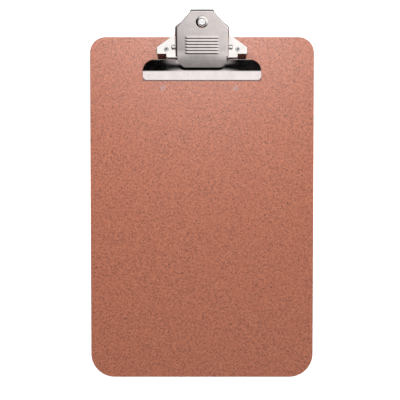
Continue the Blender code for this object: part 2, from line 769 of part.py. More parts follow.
def make_spring(clip_frame):
    left = list(spring_half_path())
    path = left + [Vector((-point.x, point.y, point.z)) for point in reversed(left)]
    curve = bpy.data.curves.new("torsion_spring", "CURVE")
    curve.dimensions = "3D"
    curve.bevel_depth = WIRE_RADIUS
    curve.bevel_resolution = 1
    curve.use_fill_caps = True
    wire = curve.splines.new("POLY")
    wire.points.add(len(path) - 1)
    for point, place in zip(wire.points, path):
        point.co = (*place, 1)
    curve.materials.append(material("spring_steel"))
    spring = bpy.data.objects.new("torsion_spring", curve)
    bpy.context.scene.collection.objects.link(spring)
    spring.parent = clip_frame
    spring.location = (0, PIN_Y, PIN_Z)
    return spring


def main():
    clear_scene()
    top_edge_y = (BOARD_LENGTH - LEVER_REACH) / 2
    clip_frame = frame_empty("clip_frame", (0, top_edge_y, BOARD_THICKNESS))
    lever_pivot = frame_empty("lever_pivot", (0, PIN_Y, PIN_Z), clip_frame)
    make_board(clip_frame)
    make_base(clip_frame)
    make_lever(clip_frame, lever_pivot)
    make_eyelet(lever_pivot)
    make_pin(clip_frame)
    make_rivet("rivet_left", -1, clip_frame)
    make_rivet("rivet_right", 1, clip_frame)
    make_spring(clip_frame)


main()
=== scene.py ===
"""The looks of the hardboard clipboard: its finely shaped pieces, their materials and the studio.

Shapes are made in the clip frame, in metres: x from the middle, y from the board's top edge
(positive past it) and z up from the board's face. place_in_row() then moves them to the row frame,
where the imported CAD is.
"""

import math

import bmesh
import bpy
from mathutils import Matrix, Vector


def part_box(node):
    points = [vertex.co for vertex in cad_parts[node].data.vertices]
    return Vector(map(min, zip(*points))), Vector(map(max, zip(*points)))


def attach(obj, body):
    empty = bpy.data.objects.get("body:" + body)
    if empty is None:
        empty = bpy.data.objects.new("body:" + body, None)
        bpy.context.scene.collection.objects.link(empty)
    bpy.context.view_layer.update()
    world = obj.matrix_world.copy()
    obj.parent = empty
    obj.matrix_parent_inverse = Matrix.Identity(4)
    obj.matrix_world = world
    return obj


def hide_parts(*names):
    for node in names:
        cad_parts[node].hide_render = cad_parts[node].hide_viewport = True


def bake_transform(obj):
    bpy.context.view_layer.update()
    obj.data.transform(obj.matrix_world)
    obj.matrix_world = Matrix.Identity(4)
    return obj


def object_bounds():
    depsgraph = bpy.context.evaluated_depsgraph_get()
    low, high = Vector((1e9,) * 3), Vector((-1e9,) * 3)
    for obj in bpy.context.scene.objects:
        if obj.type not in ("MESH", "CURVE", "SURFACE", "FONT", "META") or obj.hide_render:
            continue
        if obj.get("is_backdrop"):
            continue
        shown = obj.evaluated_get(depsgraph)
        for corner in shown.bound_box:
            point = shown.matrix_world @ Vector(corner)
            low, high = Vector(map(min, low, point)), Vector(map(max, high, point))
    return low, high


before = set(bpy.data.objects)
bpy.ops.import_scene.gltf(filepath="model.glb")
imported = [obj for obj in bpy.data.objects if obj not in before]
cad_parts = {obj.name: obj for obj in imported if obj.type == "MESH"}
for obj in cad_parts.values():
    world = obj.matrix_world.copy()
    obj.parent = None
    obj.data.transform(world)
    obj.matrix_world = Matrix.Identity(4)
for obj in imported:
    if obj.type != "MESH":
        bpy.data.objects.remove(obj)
CAD_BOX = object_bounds()
BOARD_LOW, BOARD_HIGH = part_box("board")
BASE_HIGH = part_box("clip_base")[1]
LEVER_LOW, LEVER_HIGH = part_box("clip_lever")
PIN_LOW, PIN_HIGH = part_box("hinge_pin")

# Board
BOARD_WIDTH = BOARD_HIGH[0] - BOARD_LOW[0]
BOARD_LENGTH = BOARD_HIGH[1] - BOARD_LOW[1]
BOARD_THICKNESS = BOARD_HIGH[2] - BOARD_LOW[2]
TOP_CORNER_RADIUS = 0.016
FOOT_CORNER_RADIUS = 0.0245
BOARD_EDGE_ROUND = 0.00035
BOARD_COLOUR = (0.257, 0.0750, 0.0355)
BOARD_EDGE_COLOUR = tuple(channel * 0.75 for channel in BOARD_COLOUR)
FIBRE_COLOUR = (0.10, 0.019, 0.009)
RUB_MARK_X = (-0.0400, 0.0345)
RUB_MARK_Y = -0.0520
RUB_MARK_CORE = 0.0010
RUB_MARK_REACH = 0.0042
RUB_MARK_COLOUR = (0.21, 0.155, 0.16)
# Painted shade: the board is darkened under the clip and in a strip just past the jaw bar's front
# edge and ends, in place of the shade that falls there.
PAINTED_SHADE_COLOUR = (0.05, 0.011, 0.007)
PAINTED_SHADE_PAST_BAR_END = 0.0017
PAINTED_SHADE_PAST_BAR_SIDE = 0.0006
PAINTED_SHADE_OVERLAP = 0.001

# Where the clip frame is in the row frame
CLIP_ORIGIN = Vector((0, BOARD_HIGH[1], BOARD_HIGH[2]))

# What every clip piece shares
SHEET = 0.0009
GAP = 0.0003
CUT_EDGE = 0.00012
TOOL_REACH = 0.03
LEVER_REACH = LEVER_HIGH[1] - BOARD_HIGH[1]

# Hinge axis
PIN_Y = (PIN_LOW[1] + PIN_HIGH[1]) / 2 - BOARD_HIGH[1]
PIN_Z = (PIN_LOW[2] + PIN_HIGH[2]) / 2 - BOARD_HIGH[2]
PIN_RADIUS = 0.0016
PIN_HOLE_RADIUS = 0.00195
PIN_HEAD_RADIUS = 0.0023
PIN_HEAD_INNER_X = 0.0279
PIN_HEAD_OUTER_X = PIN_HIGH[0]
PIN_HEAD_DOME = 0.0009
PIN_HEAD_ROUND = 0.0002
PIN_HEAD_STEPS = 8

# Base plate
TRAY_Z = 0.0044
TAB_HALF_WIDTH = 0.0362
TAB_Y = -0.0211
TAB_CORNER = 0.0015
EAR_HALF_WIDTH = BASE_HIGH[0]
EAR_FRONT_Y = -0.0176
EAR_BACK_Y = -0.0108
EAR_CHAMFER = 0.0009
STOP_RELIEF = 0.0005
SLANT_HALF_WIDTH = 0.0321
SLANT_Y = -0.0009
RIM_HALF_WIDTH = 0.0345
TONGUE_HALF_WIDTH = 0.0170
TONGUE_END_Y = BASE_HIGH[1] - BOARD_HIGH[1]
TONGUE_CORNER = 0.0060
STOP_FOOT_Y = -0.0224
STOP_FOOT_Z = 0.0011
STOP_FOOT_HALF_WIDTH = 0.0446
# Painted reflection: a dark red-brown patch on each paper stop, in place of the shaded board that
# the sloping metal would reflect.
STOP_PAINTED_REFLECTION_COLOUR = (0.22, 0.07, 0.045)
STOP_PAINTED_REFLECTION_X = 0.0413
STOP_PAINTED_REFLECTION_HALF = (0.0052, 0.0027, 1)
BASE_BEND = 0.0009
HINGE_EAR_INNER_X = 0.0239
HINGE_EAR_OUTER_X = 0.0248
HINGE_EAR_RADIUS = 0.0034
HINGE_EAR_FOOT = 0.0050
WINDOW_INNER_X = 0.0140
WINDOW_OUTER_X = 0.0244
WINDOW_FRONT_Y = -0.0165
WINDOW_BACK_Y = -0.0053
TONGUE_HOLE_RADIUS = 0.0050
RIVET_HOLE_LOW = 0.001

# Rivets
RIVET_X = 0.0364
RIVET_Y = -0.0128
RIVET_SHANK_RADIUS = 0.0017
RIVET_SHOULDER_RADIUS = 0.0029
RIVET_HEAD_RADIUS = 0.0036
RIVET_HEAD_THICKNESS = 0.0008
RIVET_CLINCH_RADIUS = 0.00245
RIVET_BORE_RADIUS = 0.0010
RIVET_RECESS = 0.0002
RIVET_HEAD_CHAMFER = (0.0003, 0.0002)
RIVET_ROLL_HEIGHT = 0.0006
RIVET_ROLL_STEPS = 16

# Lever plate, raised panel, wings and jaw bar
PLATE_Z = 0.0152
PLATE_SLOPE = 0.49
PLATE_CURVE = -0.94
PLATE_HALF_WIDTH = 0.0250
PLATE_CROWN = 0.0004
CROWN_FADE = 0.010
PLATE_TOP_HALF_WIDTH = 0.0106
SHOULDER_Y = 0.0073
NOTCH_HALF_WIDTH = 0.0248
FLANGE_END_Y = -0.0203
BEND_RADIUS = 0.0019
BEND_STEPS = 5
FLANGE_SPLAY = 0.12
FLANGE_STEPS = 6
FLANGE_PIN_RADIUS = 0.0043
FLANGE_BACK_ANGLE = math.radians(42)
FLANGE_FRONT_ANGLE = math.radians(30)
LIP_DEPTH = 0.0026
LIP_BEND = 0.0004
LIP_FADE = 0.006
LIP_SPLAY = 0.75
RIB_COUNT = 6
RIB_PITCH = 0.00293
RIB_CREST_Y = -0.00275
RIB_DROP = 0.0008
RIB_HEIGHT = 0.00047
RIB_HALF_LENGTH = 0.0174
RIB_END = 0.0028
PANEL_TOP_Y = -0.0183
PANEL_CURVE = -3.0
PANEL_HALF_WIDTH = 0.0205
PANEL_END_Y = -0.0310
PANEL_CORNER = 0.0035
PANEL_DROP = 0.0034
PANEL_EASE = 0.2
BAR_Z = GAP + SHEET
BAR_HALF_WIDTH = LEVER_HIGH[0]
BAR_END_Y = LEVER_LOW[1] - BOARD_HIGH[1]
BAR_CORNER = 0.0040
WING_TOP_Y = -0.0241
WING_SHOULDER_X = 0.0490
WING_SLOPE = 0.84
WING_BEND_Y = -0.0350
WING_BEND_REACH = 0.0008
SWEEP_TOP_Y = -0.0270
SWEEP_FOOT_Y = -0.0362
BLEND_INNER_X = 0.0210
BLEND_OUTER_X = 0.0425
PIP_X = 0.0556
PIP_Y = -0.0392
PIP_RADIUS = 0.0015
PIP_DEPTH = 0.00012

# Hanging eyelet
EYELET_Y = 0.0127
EYELET_RADIUS = 0.0063
EYELET_BORE_RADIUS = 0.0036
EYELET_BARREL_RADIUS = 0.00405
EYELET_BACK_RADIUS = 0.0052
EYELET_HOLE_RADIUS = 0.00435
HOLE_DEPTH = 0.01
EYELET_LIP = 0.0005
EYELET_EDGE = 0.0004
EYELET_CONE = math.radians(25)
EYELET_CLINCH = ((0, 0), (0.0002, 0.0004), (0.0006, 0.0007))
EYELET_CLINCH_DEPTH = 0.0008
EYELET_BORE_DEPTH = 0.0006

# Double torsion spring
WIRE_RADIUS = 0.0009
COIL_RADIUS = 0.0030
COIL_OUTER_X = 0.0215
COIL_PITCH = 0.00195
COIL_FULL_TURNS = 6
COIL_POINTS_PER_TURN = 28
SPRING_LEG_Y = 0.0045
SPRING_LOOP_Y = 0.0035
LOOP_CORNER = 0.0030

# Studio: two glows in the sky, each with its level at angles in degrees away from its direction
SKY_LEAN = Vector((0.5, 0.0, 0.866))
SKY_FALL = (
    (31, 0.97),
    (42, 0.80),
    (50, 0.76),
    (54, 0.62),
    (58, 0.36),
    (63, 0.25),
    (68, 0.22),
    (72, 0.09),
    (76, 0.004),
    (80, 0.0),
)
CARD_LEAN = Vector((-0.5, 0.7, 0.5))
CARD_FALL = ((0, 0.80), (35, 0.60), (50, 0.15), (58, 0.0))
SKY_STRENGTH = 1.40
BACKDROP_COLOUR = (0.8, 0.8, 0.8)
FLOOR_GLOW = 0.6
FLOOR_COLOUR = (0.8, 0.8, 0.8)
FLOOR_IN_REFLECTIONS = (0.035, 0.035, 0.035)
FLOOR_RADIUS = 12
FLOOR_BELOW = 0.0002
LAMP_PLACE = Vector((0.01, 0.36, 0.60))
LAMP_SIZE = 0.30
LAMP_WATTS = 5.3

# Camera, from the middle of the writing face
CAMERA_OFFSET = Vector((-0.002056, 0.067567, 1.198536))
CAMERA_TILT = math.radians(2.83)
CAMERA_LENS = 105.07

ROUND_SEGMENTS = 64
CORNER_SEGMENTS = 20


def smoothstep(low, high, value):
    t = min(max((value - low) / (high - low), 0.0), 1.0)
    return t * t * (3 - 2 * t)


def mix(a, b, share):
    return a + (b - a) * share


def spaced(start, stop, step):
    """Evenly spaced values from start up to, and without, stop, about a step apart."""
    count = max(round(abs(stop - start) / step), 1)
    return [mix(start, stop, k / count) for k in range(count)]


def arc(centre, radius, start, stop, segments=CORNER_SEGMENTS):
    """Points round a circle, from one angle in degrees to another, both ends included."""
    for step in range(segments + 1):
        angle = math.radians(mix(start, stop, step / segments))
        yield (centre[0] + radius * math.cos(angle), centre[1] + radius * math.sin(angle))


# Objects


def object_from(name, bm, material=None):
    """An object holding this bmesh. A closed one gets every face pointing out."""
    if all(edge.is_manifold for edge in bm.edges):
        bmesh.ops.recalc_face_normals(bm, faces=bm.faces)
    mesh = bpy.data.meshes.new(name)
    bm.to_mesh(mesh)
    bm.free()
    if material:
        mesh.materials.append(material)
    obj = bpy.data.objects.new(name, mesh)
    bpy.context.scene.collection.objects.link(obj)
    return obj


def boolean(obj, tool, operation="DIFFERENCE"):
    """Cuts or joins a tool object, applies the result and removes the tool."""
    cut = obj.modifiers.new(operation.lower(), "BOOLEAN")
    cut.solver = "EXACT"
    cut.operation = operation
    cut.object = tool
    apply_modifiers(obj)
    bpy.data.objects.remove(tool, do_unlink=True)


def apply_modifiers(obj):
    depsgraph = bpy.context.evaluated_depsgraph_get()
    shaped = bpy.data.meshes.new_from_object(obj.evaluated_get(depsgraph))
    obj.modifiers.clear()
    obj.data = shaped


def thicken(obj):
    """Gives a stamped sheet its thickness, below the surface that it was drawn as."""
    thick = obj.modifiers.new("thickness", "SOLIDIFY")
    thick.thickness = SHEET
    thick.offset = -1
    thick.use_even_offset = True
    apply_modifiers(obj)


def ease_edges(obj, width=CUT_EDGE, segments=2, angle=50):
    """Rounds the sheared edges and shades the rest smooth."""
    bevel = obj.modifiers.new("eased_edges", "BEVEL")
    bevel.width = width
    bevel.segments = segments
    bevel.limit_method = "ANGLE"
    bevel.angle_limit = math.radians(angle)
    bevel.harden_normals = False
    apply_modifiers(obj)
    smooth_by_angle(obj, 40)
    obj.modifiers.new("flat_faces_stay_flat", "WEIGHTED_NORMAL").keep_sharp = True
    apply_modifiers(obj)


def place_in_row(obj, body, node):
    """Moves a finished piece to the row frame, on its body and in its CAD node's place."""
    obj.data.transform(Matrix.Translation(CLIP_ORIGIN))
    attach(obj, body)
    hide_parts(node)


def prism(outline, low, high):
    bm = bmesh.new()
    face = bm.faces.new([bm.verts.new((x, y, low)) for x, y in outline])
    raised = bmesh.ops.extrude_face_region(bm, geom=[face])["geom"]
    corners = [item for item in raised if isinstance(item, bmesh.types.BMVert)]
    bmesh.ops.translate(bm, verts=corners, vec=(0, 0, high - low))
    return bm


def turned(profile, closed=False, segments=ROUND_SEGMENTS):
    """A (radius, height) profile turned about Z: from axis to axis, or a closed section."""
    bm = bmesh.new()
    ring = [bm.verts.new((radius, 0, height)) for radius, height in profile]
    edges = [bm.edges.new(pair) for pair in zip(ring, ring[1:])]
    if closed:
        edges.append(bm.edges.new((ring[-1], ring[0])))
    bmesh.ops.spin(
        bm, geom=ring + edges, cent=(0, 0, 0), axis=(0, 0, 1), angle=math.tau, steps=segments
    )
    bmesh.ops.remove_doubles(bm, verts=bm.verts, dist=1e-6)
    return bm


def cylinder_tool(centre, radius, low, high, along="Z"):
    bm = turned([(0, low), (radius, low), (radius, high), (0, high)])
    if along == "X":
        bmesh.ops.rotate(bm, verts=bm.verts, matrix=Matrix.Rotation(math.pi / 2, 3, "Y"))
    bmesh.ops.translate(bm, verts=bm.verts, vec=centre)
    return object_from("tool", bm)


def pin_hole_tool():
    return cylinder_tool((0, PIN_Y, PIN_Z), PIN_HOLE_RADIUS, -TOOL_REACH, TOOL_REACH, along="X")


def smooth_by_angle(obj, angle=35):
    obj.data.shade_smooth()
    obj.data.set_sharp_from_angle(angle=math.radians(angle))


# Materials


class Nodes:
    """A material's node tree with short calls for the nodes these finishes use."""

    def __init__(self, name):
        self.material = bpy.data.materials.new(name)
        self.material.use_nodes = True
        self.tree = self.material.node_tree
        self.shader = self.tree.nodes["Principled BSDF"]
        self.place = self.add("ShaderNodeTexCoord").outputs["Object"]

    def add(self, kind, **values):
        node = self.tree.nodes.new(kind)
        for key, value in values.items():
            setattr(node, key, value)
        return node

    def link(self, source, target):
        self.tree.links.new(source, target)

    def stretched(self, scale, turn=0, shift=0):
        """Object coordinates turned about Z by degrees, then scaled separately on each axis."""
        turned_place = self.add("ShaderNodeMapping")
        turned_place.inputs["Rotation"].default_value = (0, 0, math.radians(turn))
        turned_place.inputs["Location"].default_value = (0, 0, shift)
        self.link(self.place, turned_place.inputs["Vector"])
        scaled = self.add("ShaderNodeMapping")
        scaled.inputs["Scale"].default_value = scale
        self.link(turned_place.outputs["Vector"], scaled.inputs["Vector"])
        return scaled.outputs["Vector"]

    def distance(self, spot):
        node = self.add("ShaderNodeVectorMath", operation="DISTANCE")
        node.inputs[1].default_value = spot
        self.link(self.place, node.inputs[0])
        return node.outputs["Value"]

    def noise(self, scale, detail=3, roughness=0.55, vector=None):
        node = self.add("ShaderNodeTexNoise")
        node.inputs["Scale"].default_value = scale
        node.inputs["Detail"].default_value = detail
        node.inputs["Roughness"].default_value = roughness
        self.link(vector or self.place, node.inputs["Vector"])
        return node.outputs["Fac"]

    def ranged(self, value, low, high, out_low, out_high):
        """Maps one range of values to another, held at both ends."""
        node = self.add("ShaderNodeMapRange", interpolation_type="SMOOTHSTEP")
        self.link(value, node.inputs["Value"])
        for name, number in (
            ("From Min", low),
            ("From Max", high),
            ("To Min", out_low),
            ("To Max", out_high),
        ):
            node.inputs[name].default_value = number
        return node.outputs["Result"]

    def maths(self, operation, a, b):
        node = self.add("ShaderNodeMath", operation=operation)
        for socket, value in zip(node.inputs, (a, b)):
            if isinstance(value, (int, float)):
                socket.default_value = value
            else:
                self.link(value, socket)
        return node.outputs["Value"]

    def blended(self, factor, a, b):
        """A colour between two colours."""
        node = self.add("ShaderNodeMix", data_type="RGBA")
        self.link(factor, node.inputs["Factor"])
        for socket, value in ((node.inputs["A"], a), (node.inputs["B"], b)):
            if isinstance(value, tuple):
                socket.default_value = (*value, 1.0)
            else:
                self.link(value, socket)
        return node.outputs["Result"]

    def inside(self, middle, half, soft, share):
        """A share inside a box seen from above, fading to nothing at its sides."""
        offset = self.add("ShaderNodeVectorMath", operation="SUBTRACT")
        offset.inputs[1].default_value = middle
        self.link(self.place, offset.inputs[0])
        away = self.add("ShaderNodeVectorMath", operation="ABSOLUTE")
        self.link(offset.outputs["Vector"], away.inputs[0])
        past = self.add("ShaderNodeVectorMath", operation="SUBTRACT")
        past.inputs[1].default_value = half
        self.link(away.outputs["Vector"], past.inputs[0])
        axes = self.add("ShaderNodeSeparateXYZ")
        self.link(past.outputs["Vector"], axes.inputs["Vector"])
        furthest = self.maths("MAXIMUM", axes.outputs["X"], axes.outputs["Y"])
        return self.ranged(furthest, -soft, 0, share, 0)

    def bump(self, height, strength, distance, normal=None):
        node = self.add("ShaderNodeBump")
        node.inputs["Strength"].default_value = strength
        node.inputs["Distance"].default_value = distance
        self.link(height, node.inputs["Height"])
        if normal:
            self.link(normal, node.inputs["Normal"])
        return node.outputs["Normal"]


def hardboard(name, colour, roughness, marks=(), painted_shade_boxes=()):
    """Pressed wood fibre: mottled, with strands and dark flecks every way, and a leathery skin.

    Round each mark the skin is rubbed pale, and in each shade box the colour is darkened as painted
    shade.
    """
    made = Nodes(name)
    deep = tuple(c * s for c, s in zip(colour, (0.72, 0.62, 0.56)))
    pale = tuple(c * s for c, s in zip(colour, (1.22, 1.28, 1.30)))
    mottle = made.ranged(made.noise(540, 6, 0.70), 0.37, 0.63, 0, 1)
    ground = made.blended(mottle, deep, pale)
    patches = made.ranged(made.noise(28, 4, 0.6), 0.36, 0.64, 0, 0.3)
    warm = tuple(c * s for c, s in zip(colour, (1.05, 0.92, 0.86)))
    ground = made.blended(patches, ground, warm)
    for turn, lift in ((10, 0.0), (68, 0.35), (128, 0.7)):
        strands = made.noise(1, 2, 0.5, made.stretched((1300, 300, 900), turn, lift))
        ground = made.blended(made.ranged(strands, 0.59, 0.68, 0, 0.6), ground, FIBRE_COLOUR)
        ground = made.blended(made.ranged(strands, 0.40, 0.30, 0, 0.35), ground, pale)
    chips = made.noise(1, 1, 0.5, made.stretched((700, 480, 600), 40, 2.0))
    flecks = made.ranged(chips, 0.645, 0.69, 0, 0.95)
    ground = made.blended(flecks, ground, tuple(c * 0.5 for c in FIBRE_COLOUR))
    for spot in marks:
        near = made.ranged(made.distance(spot), RUB_MARK_CORE, RUB_MARK_REACH, 0.8, 0)
        rubbed = made.maths("MULTIPLY", near, made.ranged(made.noise(420), 0.38, 0.58, 0.1, 1))
        ground = made.blended(rubbed, ground, RUB_MARK_COLOUR)
    # Painted shade: each box darkens the board's colour where the clip shades it.
    for middle, half in painted_shade_boxes:
        ground = made.blended(made.inside(middle, half, 0.001, 0.8), ground, PAINTED_SHADE_COLOUR)
    made.link(ground, made.shader.inputs["Base Color"])
    skin_polish = made.ranged(made.noise(300, 4), 0.3, 0.7, roughness - 0.06, roughness + 0.08)
    made.link(skin_polish, made.shader.inputs["Roughness"])
    made.shader.inputs["Specular IOR Level"].default_value = 0.45
    leather = made.bump(made.noise(260, 3, 0.6), 0.35, 0.0002)
    made.link(made.bump(mottle, 0.35, 0.00008, leather), made.shader.inputs["Normal"])
    return made.material


def plated_steel(name, colour, roughness, grain, grain_scale=(120, 5200, 5200), painted_reflection_boxes=()):
    """Nickel plate: drawing lines along X, faint smears, fine scratches, and in each box a painted
    reflection of shaded board.
    """
    made = Nodes(name)
    lines = made.noise(1, 3, 0.6, made.stretched(grain_scale))
    smears = made.noise(130, 4, 0.65)
    scratches = made.noise(1, 2, 0.5, made.stretched((700, 6000, 900)))
    tint = made.ranged(smears, 0.3, 0.7, 0, 1)
    dull = tuple(c * 0.90 for c in colour)
    finish = made.blended(tint, dull, colour)
    # Painted reflection: each box tints the metal dark red-brown, as if it reflected shaded board.
    for middle, half in painted_reflection_boxes:
        finish = made.blended(made.inside(middle, half, 0.0004, 0.9), finish, STOP_PAINTED_REFLECTION_COLOUR)
    made.link(finish, made.shader.inputs["Base Color"])
    made.shader.inputs["Metallic"].default_value = 1.0
    rough = made.ranged(smears, 0.25, 0.75, roughness * 0.8, roughness * 1.35)
    streaks = made.ranged(scratches, 0.62, 0.72, 0, roughness * 0.6)
    made.link(made.maths("ADD", rough, streaks), made.shader.inputs["Roughness"])
    made.link(made.bump(lines, grain, 0.00001), made.shader.inputs["Normal"])
    return made.material


# Board


def board_outline():
    half = BOARD_WIDTH / 2
    foot = -BOARD_LENGTH
    yield from arc((half - TOP_CORNER_RADIUS, -TOP_CORNER_RADIUS), TOP_CORNER_RADIUS, 0, 90)
    yield from arc((TOP_CORNER_RADIUS - half, -TOP_CORNER_RADIUS), TOP_CORNER_RADIUS, 90, 180)
    yield from arc(
        (FOOT_CORNER_RADIUS - half, foot + FOOT_CORNER_RADIUS), FOOT_CORNER_RADIUS, 180, 270
    )
    yield from arc(
        (half - FOOT_CORNER_RADIUS, foot + FOOT_CORNER_RADIUS), FOOT_CORNER_RADIUS, 270, 360
    )


def make_board():
    marks = [CLIP_ORIGIN + Vector((x, RUB_MARK_Y, 0)) for x in RUB_MARK_X]
    # Painted shade boxes: one under the clip from the wing bend back to the ears, one round the jaw
    # bar reaching past its front edge and ends.
    bar_low, bar_high = BAR_END_Y - PAINTED_SHADE_PAST_BAR_END, WING_BEND_Y + PAINTED_SHADE_OVERLAP
    painted_shade_boxes = [
        (CLIP_ORIGIN + Vector((0, (low + high) / 2, 0)), (half_width, (high - low) / 2, 1))
        for low, high, half_width in (
            (WING_BEND_Y - PAINTED_SHADE_OVERLAP, EAR_BACK_Y, EAR_HALF_WIDTH),
            (bar_low, bar_high, BAR_HALF_WIDTH + PAINTED_SHADE_PAST_BAR_SIDE),
        )
    ]
    face = hardboard("hardboard", BOARD_COLOUR, 0.40, marks, painted_shade_boxes)
    edge = hardboard("hardboard_edge", BOARD_EDGE_COLOUR, 0.8)
    board = object_from("hardboard_panel", prism(list(board_outline()), -BOARD_THICKNESS, 0), face)
    board.data.materials.append(edge)
    for polygon in board.data.polygons:
        polygon.material_index = 0 if abs(polygon.normal.z) > 0.5 else 1
    recess_top = RIVET_RECESS + RIVET_HEAD_THICKNESS + GAP - BOARD_THICKNESS
    stepped_hole = [
        (0, -2 * BOARD_THICKNESS),
        (RIVET_HEAD_RADIUS + GAP, -2 * BOARD_THICKNESS),
        (RIVET_HEAD_RADIUS + GAP, recess_top),
        (RIVET_SHANK_RADIUS + GAP, recess_top),
        (RIVET_SHANK_RADIUS + GAP, BOARD_THICKNESS),
        (0, BOARD_THICKNESS),
    ]
    for side in (-1, 1):
        hole = turned(stepped_hole)
        bmesh.ops.translate(hole, verts=hole.verts, vec=(side * RIVET_X, RIVET_Y, 0))
        boolean(board, object_from("rivet_hole", hole))
    ease_edges(board, BOARD_EDGE_ROUND, 3)
    place_in_row(board, "base", "board")
    return board


# Base plate


def tray_half_outline():
    """Right half of the base plate's flat outline, from the tab's front to the tongue's end."""
    yield from arc((TAB_HALF_WIDTH - TAB_CORNER, TAB_Y + TAB_CORNER), TAB_CORNER, -90, 0, 6)
    yield (TAB_HALF_WIDTH, EAR_FRONT_Y + STOP_RELIEF)
    yield (TAB_HALF_WIDTH + STOP_RELIEF, EAR_FRONT_Y + STOP_RELIEF)
    yield (TAB_HALF_WIDTH + STOP_RELIEF, EAR_FRONT_Y)
    yield (EAR_HALF_WIDTH - EAR_CHAMFER, EAR_FRONT_Y)
    yield (EAR_HALF_WIDTH, EAR_FRONT_Y + EAR_CHAMFER)
    yield (EAR_HALF_WIDTH, EAR_BACK_Y)
    for half_width in (RIM_HALF_WIDTH, TONGUE_HALF_WIDTH):
        yield (half_width, slant_y(half_width))
    yield from arc(
        (TONGUE_HALF_WIDTH - TONGUE_CORNER, TONGUE_END_Y - TONGUE_CORNER), TONGUE_CORNER, 0, 90, 10
    )


def slant_y(half_width):
    """Where the base plate's slanted edge is at this distance from the middle."""
    slope = (SLANT_Y - EAR_BACK_Y) / (EAR_HALF_WIDTH - SLANT_HALF_WIDTH)
    return SLANT_Y + (SLANT_HALF_WIDTH - half_width) * slope


def rim_outline(side):
    """The turned-down rim from above: a strip along the ear's end and the slanted edge."""
    outer = [
        Vector((EAR_HALF_WIDTH, EAR_FRONT_Y + EAR_CHAMFER)),
        Vector((EAR_HALF_WIDTH, EAR_BACK_Y)),
        Vector((RIM_HALF_WIDTH, slant_y(RIM_HALF_WIDTH))),
    ]
    inward = Vector((-1, 0))
    slant = (outer[2] - outer[1]).normalized()
    slant_inward = Vector((-slant.y, slant.x))
    mitre = (inward + slant_inward) / (1 + inward.dot(slant_inward))
    inner = [outer[0] + inward * SHEET, outer[1] + mitre * SHEET, outer[2] + slant_inward * SHEET]
    return [(side * point.x, point.y) for point in outer + inner[::-1]]


def paper_stop(side):
    """The sloping flange in front of an ear, which stops the paper: a slab from root to foot."""
    slope = Vector((STOP_FOOT_Y - EAR_FRONT_Y, STOP_FOOT_Z - TRAY_Z)).normalized()
    under = Vector((-slope.y, slope.x)) * SHEET
    root = Vector((EAR_FRONT_Y, TRAY_Z)) - slope * SHEET / 4
    foot = Vector((STOP_FOOT_Y, STOP_FOOT_Z))
    inner = TAB_HALF_WIDTH + STOP_RELIEF
    bm = bmesh.new()
    rings = []
    for place, outer in ((root, EAR_HALF_WIDTH - EAR_CHAMFER), (foot, STOP_FOOT_HALF_WIDTH)):
        section = [(inner, place), (outer, place), (outer, place + under), (inner, place + under)]
        rings.append([bm.verts.new((side * x, at.x, at.y)) for x, at in section])
    for ring in rings:
        bm.faces.new(ring)
    for k in range(4):
        bm.faces.new([rings[0][k], rings[0][k - 1], rings[1][k - 1], rings[1][k]])
    return bm


def round_bends(obj):
    """Rounds the plate's upper edges where it turns down into the rims and stops."""
    bm = bmesh.new()
    bm.from_mesh(obj.data)
    bends = []
    for edge in bm.edges:
        x = min(abs(vert.co.x) for vert in edge.verts)
        on_top = all(abs(vert.co.z - TRAY_Z) < 1e-5 for vert in edge.verts)
        if on_top and x > RIM_HALF_WIDTH and edge.is_manifold and edge.calc_face_angle() > 0.3:
            y = sum(vert.co.y for vert in edge.verts) / 2
            if abs(y - EAR_FRONT_Y) < 1e-4 or y > EAR_FRONT_Y + EAR_CHAMFER:
                bends.append(edge)
    bmesh.ops.bevel(
        bm,
        geom=bends,
        offset=BASE_BEND,
        segments=4,
        profile=0.5,
        affect="EDGES",
        clamp_overlap=True,
    )
    bm.to_mesh(obj.data)
    bm.free()


def hinge_ear_outline():
    """Side view of a hinge ear as (y, z): a wide foot and a round head about the pin."""
    yield (PIN_Y - HINGE_EAR_FOOT, TRAY_Z - SHEET / 2)
    yield (PIN_Y + HINGE_EAR_FOOT, TRAY_Z - SHEET / 2)
    yield (PIN_Y + HINGE_EAR_FOOT, TRAY_Z + SHEET / 2)
    yield from arc((PIN_Y, PIN_Z), HINGE_EAR_RADIUS, 0, 180, 24)
    yield (PIN_Y - HINGE_EAR_FOOT, TRAY_Z + SHEET / 2)


def hinge_ear(side):
    bm = prism(list(hinge_ear_outline()), HINGE_EAR_INNER_X, HINGE_EAR_OUTER_X)
    for vert in bm.verts:
        y, z, x = vert.co
        vert.co = (side * x, y, z)
    return object_from("hinge_ear", bm)


def window_tool(side):
    """The window that a hinge ear was folded up from."""
    inner, outer = sorted((side * WINDOW_INNER_X, side * WINDOW_OUTER_X))
    corner = 2 * SHEET
    outline = []
    for x, y, start in (
        (outer - corner, WINDOW_BACK_Y - corner, 0),
        (inner + corner, WINDOW_BACK_Y - corner, 90),
        (inner + corner, WINDOW_FRONT_Y + corner, 180),
        (outer - corner, WINDOW_FRONT_Y + corner, 270),
    ):
        outline += arc((x, y), corner, start, start + 90, 6)
    return object_from("ear_window", prism(outline, 0, 2 * TRAY_Z))


